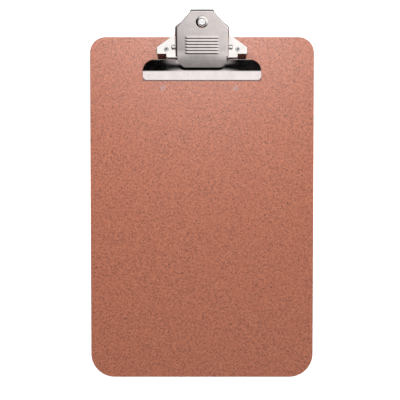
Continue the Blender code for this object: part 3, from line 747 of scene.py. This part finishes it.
def make_base():
    # Painted reflection boxes, one on each paper stop.
    stops = [
        (CLIP_ORIGIN + Vector((side * STOP_PAINTED_REFLECTION_X, (STOP_FOOT_Y + EAR_FRONT_Y) / 2, 0)), STOP_PAINTED_REFLECTION_HALF)
        for side in (-1, 1)
    ]
    steel = plated_steel("base_nickel", (0.76, 0.725, 0.70), 0.12, 0.15, painted_reflection_boxes=stops)
    right = list(tray_half_outline())
    outline = right + [(-x, y) for x, y in reversed(right)]
    base = object_from("base_stamping", prism(outline, TRAY_Z - SHEET, TRAY_Z), steel)
    for side in (-1, 1):
        boolean(base, object_from("rim", prism(rim_outline(side), GAP, TRAY_Z)), "UNION")
        boolean(base, object_from("paper_stop", paper_stop(side)), "UNION")
    round_bends(base)
    for side in (-1, 1):
        boolean(base, window_tool(side))
        spot = (side * RIVET_X, RIVET_Y, 0)
        boolean(base, cylinder_tool(spot, RIVET_SHANK_RADIUS + GAP, RIVET_HOLE_LOW, 2 * TRAY_Z))
    for side in (-1, 1):
        boolean(base, hinge_ear(side), "UNION")
    boolean(base, cylinder_tool((0, EYELET_Y, 0), TONGUE_HOLE_RADIUS, 0, 2 * TRAY_Z))
    boolean(base, pin_hole_tool())
    ease_edges(base)
    place_in_row(base, "base", "clip_base")


# Lever: its upper surface as heights over the clip frame


def plate_z(y):
    """The thumb plate and raised panel: a slightly bowed slope, which steepens down the panel."""
    past_pin = y - PIN_Y
    past_panel = min(y - PANEL_TOP_Y, 0)
    bow = PLATE_CURVE * past_pin**2 + PANEL_CURVE * past_panel**2
    return PLATE_Z + PLATE_SLOPE * past_pin + bow


def plate_slope(y):
    past_panel = min(y - PANEL_TOP_Y, 0)
    return PLATE_SLOPE + 2 * PLATE_CURVE * (y - PIN_Y) + 2 * PANEL_CURVE * past_panel


def wing_z(y):
    """The flat jaw bar, a short bend and the steep wing."""
    past_bend = y - WING_BEND_Y
    reach = WING_BEND_REACH
    if past_bend < -reach:
        return BAR_Z
    if past_bend < reach:
        return BAR_Z + WING_SLOPE * (past_bend + reach) ** 2 / (4 * reach)
    return BAR_Z + WING_SLOPE * past_bend


def sweep_z(y):
    """Beside the raised panel the plate sweeps down to the bar in one soft curve."""
    if y >= SWEEP_TOP_Y:
        return plate_z(y)
    if y <= SWEEP_FOOT_Y:
        return BAR_Z
    length = SWEEP_TOP_Y - SWEEP_FOOT_Y
    t = (y - SWEEP_FOOT_Y) / length
    leaving = (t**3 - t**2) * length * plate_slope(SWEEP_TOP_Y)
    return mix(BAR_Z, plate_z(SWEEP_TOP_Y), smoothstep(0, 1, t)) + leaving


def panel_share(x, y):
    """1 on the raised panel, falling to 0 past its rounded end."""
    dx = abs(x) - PANEL_HALF_WIDTH + PANEL_CORNER
    dy = PANEL_END_Y + PANEL_CORNER - y
    outside = math.hypot(max(dx, 0), max(dy, 0)) + min(max(dx, dy), 0) - PANEL_CORNER
    return 1 - eased_ramp(outside / PANEL_DROP, PANEL_EASE)


def eased_ramp(t, ease):
    """0 to 1 in a straight line, rounded over this share at each end."""
    t = min(max(t, 0), 1)
    if t > 0.5:
        return 1 - eased_ramp(1 - t, ease)
    steepness = 1 / (1 - ease)
    return steepness * t * t / (2 * ease) if t < ease else steepness * (t - ease / 2)


def rib_height(x, y):
    """The thumb plate's grip ribs: each rises gently towards the jaw, then drops sharply."""
    past_first = RIB_CREST_Y + RIB_PITCH - RIB_DROP - y
    rib, along = divmod(past_first, RIB_PITCH)
    if not 0 <= rib < RIB_COUNT:
        return 0.0
    rise = RIB_PITCH - RIB_DROP
    height = along / rise if along < rise else 1 - (along - rise) / RIB_DROP
    end = 1 - smoothstep(RIB_HALF_LENGTH - RIB_END, RIB_HALF_LENGTH, abs(x))
    return RIB_HEIGHT * height * end


def pip_depth(x, y):
    """The round dimples near the ends of the bar."""
    away = math.hypot(abs(x) - PIP_X, y - PIP_Y)
    return PIP_DEPTH * (1 - smoothstep(PIP_RADIUS * 0.6, PIP_RADIUS, away))


def lever_z(x, y):
    centre = 1 - smoothstep(BLEND_INNER_X, BLEND_OUTER_X, abs(x))
    ground = mix(wing_z(y), sweep_z(y), centre)
    if y > SWEEP_TOP_Y and abs(x) <= PLATE_HALF_WIDTH:
        ground = plate_z(y)
    shaped = mix(ground, plate_z(y), panel_share(x, y)) + rib_height(x, y) - pip_depth(x, y)
    crowned = smoothstep(WING_TOP_Y, WING_TOP_Y + CROWN_FADE, y)
    return shaped - PLATE_CROWN * crowned * (x / PLATE_HALF_WIDTH) ** 2


# Lever: its outline, its grid of points and its turned-down flanges


def plate_half_width(y):
    """Half the width of the flat plate between its bends."""
    if y > SHOULDER_Y:
        share = (y - SHOULDER_Y) / (plate_top_y() - SHOULDER_Y)
        return mix(PLATE_HALF_WIDTH, PLATE_TOP_HALF_WIDTH, share)
    if WING_TOP_Y < y < FLANGE_END_Y:
        return NOTCH_HALF_WIDTH
    return PLATE_HALF_WIDTH


def plate_top_y():
    """Where the flat plate ends, short of the lever's reach by its bend and its lip's splay."""
    return LEVER_REACH - LIP_BEND - LIP_SPLAY * (LIP_DEPTH - LIP_BEND)


def wing_half_width(y):
    """Half the jaw's width: round shoulders, straight ends and round lower corners."""
    corner_y = BAR_END_Y + BAR_CORNER
    if y > WING_BEND_Y:
        share = (y - WING_BEND_Y) / (WING_TOP_Y - WING_BEND_Y)
        fall = math.sqrt(max(1 - share**2, 0))
        return WING_SHOULDER_X + (BAR_HALF_WIDTH - WING_SHOULDER_X) * fall
    if y < corner_y:
        across = math.sqrt(max(BAR_CORNER**2 - (corner_y - y) ** 2, 0))
        return BAR_HALF_WIDTH - BAR_CORNER + across
    return BAR_HALF_WIDTH


def plate_rows():
    """Where the plate's rows of points are along y, from the top edge down to the wings."""
    rib_top = RIB_CREST_Y + RIB_PITCH - RIB_DROP
    rows = spaced(plate_top_y(), SHOULDER_Y, 0.0010)
    rows += spaced(SHOULDER_Y, rib_top, 0.0010)
    for rib in range(RIB_COUNT):
        crest = RIB_CREST_Y - rib * RIB_PITCH
        rows += spaced(crest + RIB_PITCH - RIB_DROP, crest, 0.0003)
        rows += spaced(crest, crest - RIB_DROP, 0.00015)
    rows += spaced(rows[-1] - 0.00015, FLANGE_END_Y, 0.0004)
    rows += [FLANGE_END_Y, FLANGE_END_Y - GAP]
    return rows + [mix(FLANGE_END_Y, WING_TOP_Y, 0.5), WING_TOP_Y + GAP]


def wing_rows():
    """Rows from the wings' upper edge down to the jaw bar's front edge."""
    rise = WING_TOP_Y - WING_BEND_Y
    shoulder_foot = WING_BEND_Y + rise * math.sin(math.radians(36))
    rows = [WING_BEND_Y + rise * math.sin(math.radians(a)) for a in range(90, 36, -4)]
    rows += spaced(shoulder_foot, SWEEP_FOOT_Y - WING_BEND_REACH, 0.00035)
    rows += spaced(SWEEP_FOOT_Y - WING_BEND_REACH, BAR_END_Y + BAR_CORNER, 0.0005)
    for angle in range(0, 91, 10):
        rows.append(BAR_END_Y + BAR_CORNER * (1 - math.sin(math.radians(angle))))
    return rows


def plate_columns(count=92):
    """Places across the plate, as shares of its half width."""
    return [2 * k / count - 1 for k in range(count + 1)]


def wing_columns(count=46):
    """Places from the plate out to a wing's end, closer together towards the end."""
    return [math.sin(math.pi / 2 * (k + 1) / count) for k in range(count)]


def flange_low_z(y):
    """Height of the side flange's lower edge: round under the pin, then straight up both ways."""
    past_pin = y - PIN_Y
    angle = FLANGE_BACK_ANGLE if past_pin > 0 else FLANGE_FRONT_ANGLE
    touch = FLANGE_PIN_RADIUS * math.sin(angle)
    if abs(past_pin) < touch:
        low = PIN_Z - math.sqrt(FLANGE_PIN_RADIUS**2 - past_pin**2)
    else:
        touch_z = PIN_Z - FLANGE_PIN_RADIUS * math.cos(angle)
        low = touch_z + math.tan(angle) * (abs(past_pin) - touch)
    return min(low, plate_z(y) - LIP_DEPTH)


def outward(path, index):
    """Mitred outward direction at a point of an open path that runs anticlockwise."""
    sides = []
    for a, b in ((index - 1, index), (index, index + 1)):
        if 0 <= a and b < len(path):
            run = Vector(path[b][:2]) - Vector(path[a][:2])
            sides.append(Vector((run.y, -run.x)).normalized())
    bisector = (sides[0] + sides[-1]).normalized()
    return bisector / bisector.dot(sides[0])


def add_rows(bm, rows, width_at, columns):
    """Points for each row, spaced across its width, as lists of vertices."""
    grid = []
    for y in rows:
        half = width_at(y)
        grid.append([bm.verts.new((s * half, y, lever_z(s * half, y))) for s in columns])
    return grid


def skin(bm, grid):
    """Faces between neighbouring rows of points."""
    for upper, lower in zip(grid, grid[1:]):
        for k in range(len(upper) - 1):
            bm.faces.new([upper[k], lower[k], lower[k + 1], upper[k + 1]])


def add_wings(bm, plate_grid, first_wing_row):
    """The wings carry each row of the plate on, out to the jaw's outline."""
    for side, edge in ((-1, 0), (1, -1)):
        grid = []
        for row in plate_grid[first_wing_row:]:
            root = row[edge]
            y = root.co.y
            reach = wing_half_width(y) - PLATE_HALF_WIDTH
            points = [root]
            for share in wing_columns():
                x = side * (PLATE_HALF_WIDTH + share * reach)
                points.append(bm.verts.new((x, y, lever_z(x, y))))
            grid.append(points[::side])
        skin(bm, grid)


def add_flanges(bm, plate_grid, flange_rows):
    """One strip turned down round the plate: the side flanges, and a lip round the top."""
    right = [row[-1] for row in reversed(plate_grid[:flange_rows])]
    top = list(reversed(plate_grid[0][1:-1]))
    left = [row[0] for row in plate_grid[:flange_rows]]
    path = right + top + left
    spots = [tuple(vert.co) for vert in path]
    rings = [path] + [[] for _ in range(BEND_STEPS + FLANGE_STEPS)]
    for index, (x, y, z) in enumerate(spots):
        out = outward(spots, index)
        share = smoothstep(SHOULDER_Y, SHOULDER_Y + LIP_FADE, y)
        depth = z - flange_low_z(y) if y <= SHOULDER_Y else lip_depth(share)
        for ring, (away, down) in zip(rings[1:], flange_section(depth, share, out.y)):
            ring.append(bm.verts.new((x + out.x * away, y + out.y * away, z - down)))
    skin(bm, rings)


def lip_depth(share):
    """The flange's depth eases into the shallow lip above the shoulder."""
    return mix(plate_z(SHOULDER_Y) - flange_low_z(SHOULDER_Y), LIP_DEPTH, share)


def flange_section(depth, lip_share, top_share):
    """Steps out and down of the bend's quarter circle and then the splayed flange or lip."""
    bend = mix(BEND_RADIUS, LIP_BEND, lip_share)
    splay = mix(FLANGE_SPLAY, LIP_SPLAY, max(top_share, 0) ** 4)
    for step in range(1, BEND_STEPS + 1):
        angle = math.pi / 2 * step / BEND_STEPS
        yield bend * math.sin(angle), bend * (1 - math.cos(angle))
    for step in range(1, FLANGE_STEPS + 1):
        down = mix(bend, depth, step / FLANGE_STEPS)
        yield bend + splay * (down - bend), down


def make_lever():
    steel = plated_steel("lever_nickel", (0.675, 0.613, 0.60), 0.10, 0.35)
    bm = bmesh.new()
    upper = plate_rows()
    grid = add_rows(bm, upper + wing_rows(), plate_half_width, plate_columns())
    skin(bm, grid)
    add_wings(bm, grid, len(upper))
    add_flanges(bm, grid, upper.index(FLANGE_END_Y) + 1)
    lever = object_from("lever_stamping", bm, steel)
    thicken(lever)
    profile = [(0, -HOLE_DEPTH), (EYELET_HOLE_RADIUS, -HOLE_DEPTH)]
    profile += [(radius, -height) for radius, height in reversed(profile)]
    hole = turned(profile)
    square_to_plate(hole)
    boolean(lever, object_from("hang_hole", hole))
    boolean(lever, pin_hole_tool())
    ease_edges(lever)
    place_in_row(lever, "lever", "clip_lever")


def square_to_plate(bm):
    """Turns and moves a shape so that its axis is square to the thumb plate at the hanging hole."""
    tilt = math.atan(plate_slope(EYELET_Y))
    bmesh.ops.rotate(bm, verts=bm.verts, matrix=Matrix.Rotation(tilt, 3, "X"))
    bmesh.ops.translate(bm, verts=bm.verts, vec=(0, EYELET_Y, plate_z(EYELET_Y)))


def make_eyelet():
    """A rolled eyelet: a raised round rim on the plate, a barrel through it and a clinched back."""
    steel = plated_steel("eyelet_nickel", (0.72, 0.69, 0.67), 0.1, 0.1)
    back = -SHEET - GAP
    crest = EYELET_BORE_RADIUS + EYELET_LIP
    crest_z = GAP + EYELET_EDGE + (EYELET_RADIUS - crest) * math.tan(EYELET_CONE)
    collar_start = 90 - math.degrees(EYELET_CONE)
    section = [(EYELET_BORE_RADIUS, back - EYELET_BORE_DEPTH)]
    section += arc((crest, crest_z - EYELET_LIP), EYELET_LIP, 180, collar_start, 10)
    section += arc((EYELET_RADIUS - EYELET_EDGE, GAP), EYELET_EDGE, 70, 0, 6)
    section += [(EYELET_BARREL_RADIUS, GAP), (EYELET_BARREL_RADIUS, back)]
    section += [(EYELET_BACK_RADIUS - inset, back - depth) for inset, depth in EYELET_CLINCH]
    section.append((EYELET_BARREL_RADIUS, back - EYELET_CLINCH_DEPTH))
    bm = turned(section, closed=True)
    square_to_plate(bm)
    eyelet = object_from("eyelet_ring", bm, steel)
    smooth_by_angle(eyelet)
    place_in_row(eyelet, "lever", "hang_eyelet")


# Pin, rivets and spring


def make_pin():
    """A straight pin with a domed head peened at each end."""
    steel = plated_steel("pin_steel_finish", (0.74, 0.72, 0.70), 0.10, 0.2, (5200, 160, 160))
    right = [
        (PIN_RADIUS, PIN_HEAD_INNER_X),
        (PIN_HEAD_RADIUS - PIN_HEAD_ROUND, PIN_HEAD_INNER_X),
        (PIN_HEAD_RADIUS, PIN_HEAD_INNER_X + PIN_HEAD_ROUND),
        (PIN_HEAD_RADIUS, PIN_HEAD_OUTER_X - PIN_HEAD_DOME),
    ]
    for step in range(1, PIN_HEAD_STEPS):
        angle = math.pi / 2 * step / PIN_HEAD_STEPS
        x = PIN_HEAD_OUTER_X - PIN_HEAD_DOME * (1 - math.sin(angle))
        right.append((PIN_HEAD_RADIUS * math.cos(angle), x))
    right.append((0, PIN_HEAD_OUTER_X))
    left = [(radius, -x) for radius, x in reversed(right)]
    bm = turned(left + right)
    bmesh.ops.rotate(bm, verts=bm.verts, matrix=Matrix.Rotation(math.pi / 2, 3, "Y"))
    bmesh.ops.translate(bm, verts=bm.verts, vec=(0, PIN_Y, PIN_Z))
    pin = object_from("peened_pin", bm, steel)
    smooth_by_angle(pin)
    place_in_row(pin, "base", "hinge_pin")


def make_rivet(side, node, steel):
    """A shouldered tubular rivet: its head in the board's back, its end rolled over the base."""
    head = RIVET_RECESS - BOARD_THICKNESS
    plate_under = TRAY_Z - SHEET - GAP
    roll = TRAY_Z + GAP
    roll_radius = (RIVET_CLINCH_RADIUS - RIVET_BORE_RADIUS) / 2
    middle = RIVET_BORE_RADIUS + roll_radius
    profile = [
        (0, head),
        (RIVET_HEAD_RADIUS - RIVET_HEAD_CHAMFER[0], head),
        (RIVET_HEAD_RADIUS, head + RIVET_HEAD_CHAMFER[1]),
        (RIVET_HEAD_RADIUS, head + RIVET_HEAD_THICKNESS),
        (RIVET_SHANK_RADIUS, head + RIVET_HEAD_THICKNESS),
        (RIVET_SHANK_RADIUS, GAP),
        (RIVET_SHOULDER_RADIUS, GAP),
        (RIVET_SHOULDER_RADIUS, plate_under),
        (RIVET_SHANK_RADIUS, plate_under),
        (RIVET_SHANK_RADIUS, roll),
    ]
    for step in range(RIVET_ROLL_STEPS + 1):
        angle = math.pi * step / RIVET_ROLL_STEPS
        lift = RIVET_ROLL_HEIGHT * math.sin(angle)
        profile.append((middle + roll_radius * math.cos(angle), roll + lift))
    profile += [(RIVET_BORE_RADIUS, GAP), (0, GAP - RIVET_BORE_RADIUS)]
    bm = turned(profile, segments=40)
    bmesh.ops.translate(bm, verts=bm.verts, vec=(side * RIVET_X, RIVET_Y, 0))
    rivet = object_from(f"tubular_{node}", bm, steel)
    smooth_by_angle(rivet)
    place_in_row(rivet, "base", node)


def spring_half_path():
    """Centreline of the spring's left half, about the pin: base leg, coil and half the loop."""
    plate_angle = math.atan(plate_slope(PIN_Y))
    along = Vector((0, math.cos(plate_angle), math.sin(plate_angle)))
    normal = Vector((0, -math.sin(plate_angle), math.cos(plate_angle)))
    leg_z = TRAY_Z + GAP + WIRE_RADIUS - PIN_Z
    for y in spaced(SPRING_LEG_Y - PIN_Y, COIL_RADIUS, 0.002):
        yield Vector((-COIL_OUTER_X, y, leg_z))
    yield Vector((-COIL_OUTER_X, COIL_RADIUS * 0.8, mix(leg_z, -COIL_RADIUS, 0.35)))
    yield Vector((-COIL_OUTER_X, COIL_RADIUS * 0.4, mix(leg_z, -COIL_RADIUS, 0.75)))
    turns = COIL_FULL_TURNS + 0.5 - plate_angle / math.tau
    steps = round(turns * COIL_POINTS_PER_TURN)
    for step in range(steps + 1):
        done = turns * step / steps
        angle = -math.pi / 2 - math.tau * done
        x = -COIL_OUTER_X + COIL_PITCH * done
        yield Vector((x, COIL_RADIUS * math.cos(angle), COIL_RADIUS * math.sin(angle)))
    x = -COIL_OUTER_X + COIL_PITCH * turns
    start = normal * COIL_RADIUS
    reach = (SPRING_LOOP_Y - PIN_Y) / along.y
    for run in spaced(0.002, reach - LOOP_CORNER, 0.002):
        yield start + along * run + Vector((x, 0, 0))
    for across, forward in arc((LOOP_CORNER, reach - LOOP_CORNER), LOOP_CORNER, 180, 90, 8):
        yield start + along * forward + Vector((x + across, 0, 0))
    yield start + along * reach


def make_spring():
    """Each half coils about the pin: its leg lies on the base and its loop reaches along the
    lever's plate.
    """
    steel = plated_steel("spring_wire", (0.45, 0.45, 0.46), 0.28, 0.3, (900, 900, 900))
    for side, name in ((-1, "spring_left"), (1, "spring_right")):
        path = [Vector((-side * p.x, p.y, p.z)) for p in spring_half_path()]
        curve = bpy.data.curves.new(name, "CURVE")
        curve.dimensions = "3D"
        curve.bevel_depth = WIRE_RADIUS
        curve.bevel_resolution = 4
        curve.use_fill_caps = True
        wire = curve.splines.new("POLY")
        wire.points.add(len(path) - 1)
        for point, place in zip(wire.points, path):
            point.co = (*(place + Vector((0, PIN_Y, PIN_Z)) + CLIP_ORIGIN), 1)
        shaped = bpy.data.objects.new(name, curve)
        bpy.context.scene.collection.objects.link(shaped)
        depsgraph = bpy.context.evaluated_depsgraph_get()
        mesh = bpy.data.meshes.new_from_object(shaped.evaluated_get(depsgraph))
        bpy.data.objects.remove(shaped, do_unlink=True)
        mesh.materials.clear()
        mesh.materials.append(steel)
        mesh.shade_smooth()
        spring = bpy.data.objects.new(name, mesh)
        bpy.context.scene.collection.objects.link(spring)
        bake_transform(spring)
        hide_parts("torsion_spring")


# Studio


def make_floor():
    floor_material = Nodes("white_floor")
    seen = floor_material.add("ShaderNodeLightPath").outputs["Is Camera Ray"]
    paper = floor_material.blended(seen, FLOOR_IN_REFLECTIONS, FLOOR_COLOUR)
    floor_material.link(paper, floor_material.shader.inputs["Base Color"])
    floor_material.shader.inputs["Emission Color"].default_value = (1, 1, 1, 1)
    glow = floor_material.maths("MULTIPLY", seen, FLOOR_GLOW)
    floor_material.link(glow, floor_material.shader.inputs["Emission Strength"])
    floor_material.shader.inputs["Roughness"].default_value = 0.9
    floor_material.shader.inputs["Specular IOR Level"].default_value = 0.1
    bm = bmesh.new()
    bmesh.ops.create_circle(bm, cap_ends=True, segments=96, radius=FLOOR_RADIUS)
    floor = object_from("floor", bm, floor_material.material)
    floor.location.z = CAD_BOX[0][2] - FLOOR_BELOW
    floor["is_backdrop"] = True
    return floor


def glow_round(tree, direction, lean, levels):
    """A glow about one direction, with its level at angles in degrees away from it."""
    towards = tree.nodes.new("ShaderNodeVectorMath")
    towards.operation = "DOT_PRODUCT"
    towards.inputs[1].default_value = lean.normalized()
    tree.links.new(direction, towards.inputs[0])
    fall = tree.nodes.new("ShaderNodeValToRGB")
    ramp = fall.color_ramp
    ramp.interpolation = "EASE"
    for stop, (angle, level) in zip((ramp.elements[1], ramp.elements[0]), (levels[0], levels[-1])):
        stop.position = math.cos(math.radians(angle))
        stop.color = (level, level, level, 1)
    for angle, level in levels[1:-1]:
        ramp.elements.new(math.cos(math.radians(angle))).color = (level, level, level, 1)
    tree.links.new(towards.outputs["Value"], fall.inputs["Fac"])
    return fall.outputs["Color"]


def make_world():
    """A soft ceiling leaning to the right, a dimmer card beyond the clip, and a pale backdrop."""
    world = bpy.data.worlds.new("studio")
    world.use_nodes = True
    bpy.context.scene.world = world
    tree = world.node_tree
    background = tree.nodes["Background"]
    direction = tree.nodes.new("ShaderNodeTexCoord").outputs["Generated"]
    sky = tree.nodes.new("ShaderNodeMix")
    sky.data_type = "RGBA"
    sky.blend_type = "LIGHTEN"
    sky.inputs["Factor"].default_value = 1
    tree.links.new(glow_round(tree, direction, SKY_LEAN, SKY_FALL), sky.inputs["A"])
    tree.links.new(glow_round(tree, direction, CARD_LEAN, CARD_FALL), sky.inputs["B"])
    seen = tree.nodes.new("ShaderNodeLightPath")
    choose = tree.nodes.new("ShaderNodeMix")
    choose.data_type = "RGBA"
    tree.links.new(seen.outputs["Is Camera Ray"], choose.inputs["Factor"])
    tree.links.new(sky.outputs["Result"], choose.inputs["A"])
    choose.inputs["B"].default_value = (*BACKDROP_COLOUR, 1)
    tree.links.new(choose.outputs["Result"], background.inputs["Color"])
    background.inputs["Strength"].default_value = SKY_STRENGTH


def make_lamp(matt_pieces):
    """A soft box beyond the clip, for matt pieces only: it lights the board's clip end more."""
    lamp = bpy.data.lights.new("soft_box", "AREA")
    lamp.shape = "DISK"
    lamp.size = LAMP_SIZE
    lamp.energy = LAMP_WATTS
    soft_box = bpy.data.objects.new("soft_box", lamp)
    bpy.context.scene.collection.objects.link(soft_box)
    soft_box.location = LAMP_PLACE
    soft_box.rotation_euler = (CLIP_ORIGIN - LAMP_PLACE).to_track_quat("-Z", "Y").to_euler()
    soft_box.visible_camera = False
    matt = bpy.data.collections.new("lit_by_soft_box")
    for piece in matt_pieces:
        matt.objects.link(piece)
    soft_box.light_linking.receiver_collection = matt


def make_camera():
    """Almost straight above the board, a little to the clip's side of its middle."""
    board_middle = Vector((0, (BOARD_LOW[1] + BOARD_HIGH[1]) / 2, BOARD_HIGH[2]))
    camera = bpy.data.objects.new("camera", bpy.data.cameras.new("camera"))
    bpy.context.scene.collection.objects.link(camera)
    camera.data.sensor_width = 36
    camera.data.lens = CAMERA_LENS
    camera.location = board_middle + CAMERA_OFFSET
    camera.rotation_euler = (-CAMERA_TILT, 0, 0)
    bpy.context.scene.camera = camera


def main():
    bpy.context.scene.view_settings.view_transform = "Standard"
    make_camera()
    make_world()
    make_lamp([make_floor(), make_board()])
    make_base()
    make_lever()
    make_eyelet()
    make_pin()
    rivet_steel = plated_steel("rivet_nickel", (0.66, 0.65, 0.66), 0.18, 0.1)
    make_rivet(-1, "rivet_left", rivet_steel)
    make_rivet(1, "rivet_right", rivet_steel)
    make_spring()


main()
boxes = {"cad": CAD_BOX, "visual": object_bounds()}
{name: [list(corner) for corner in box] for name, box in boxes.items()}
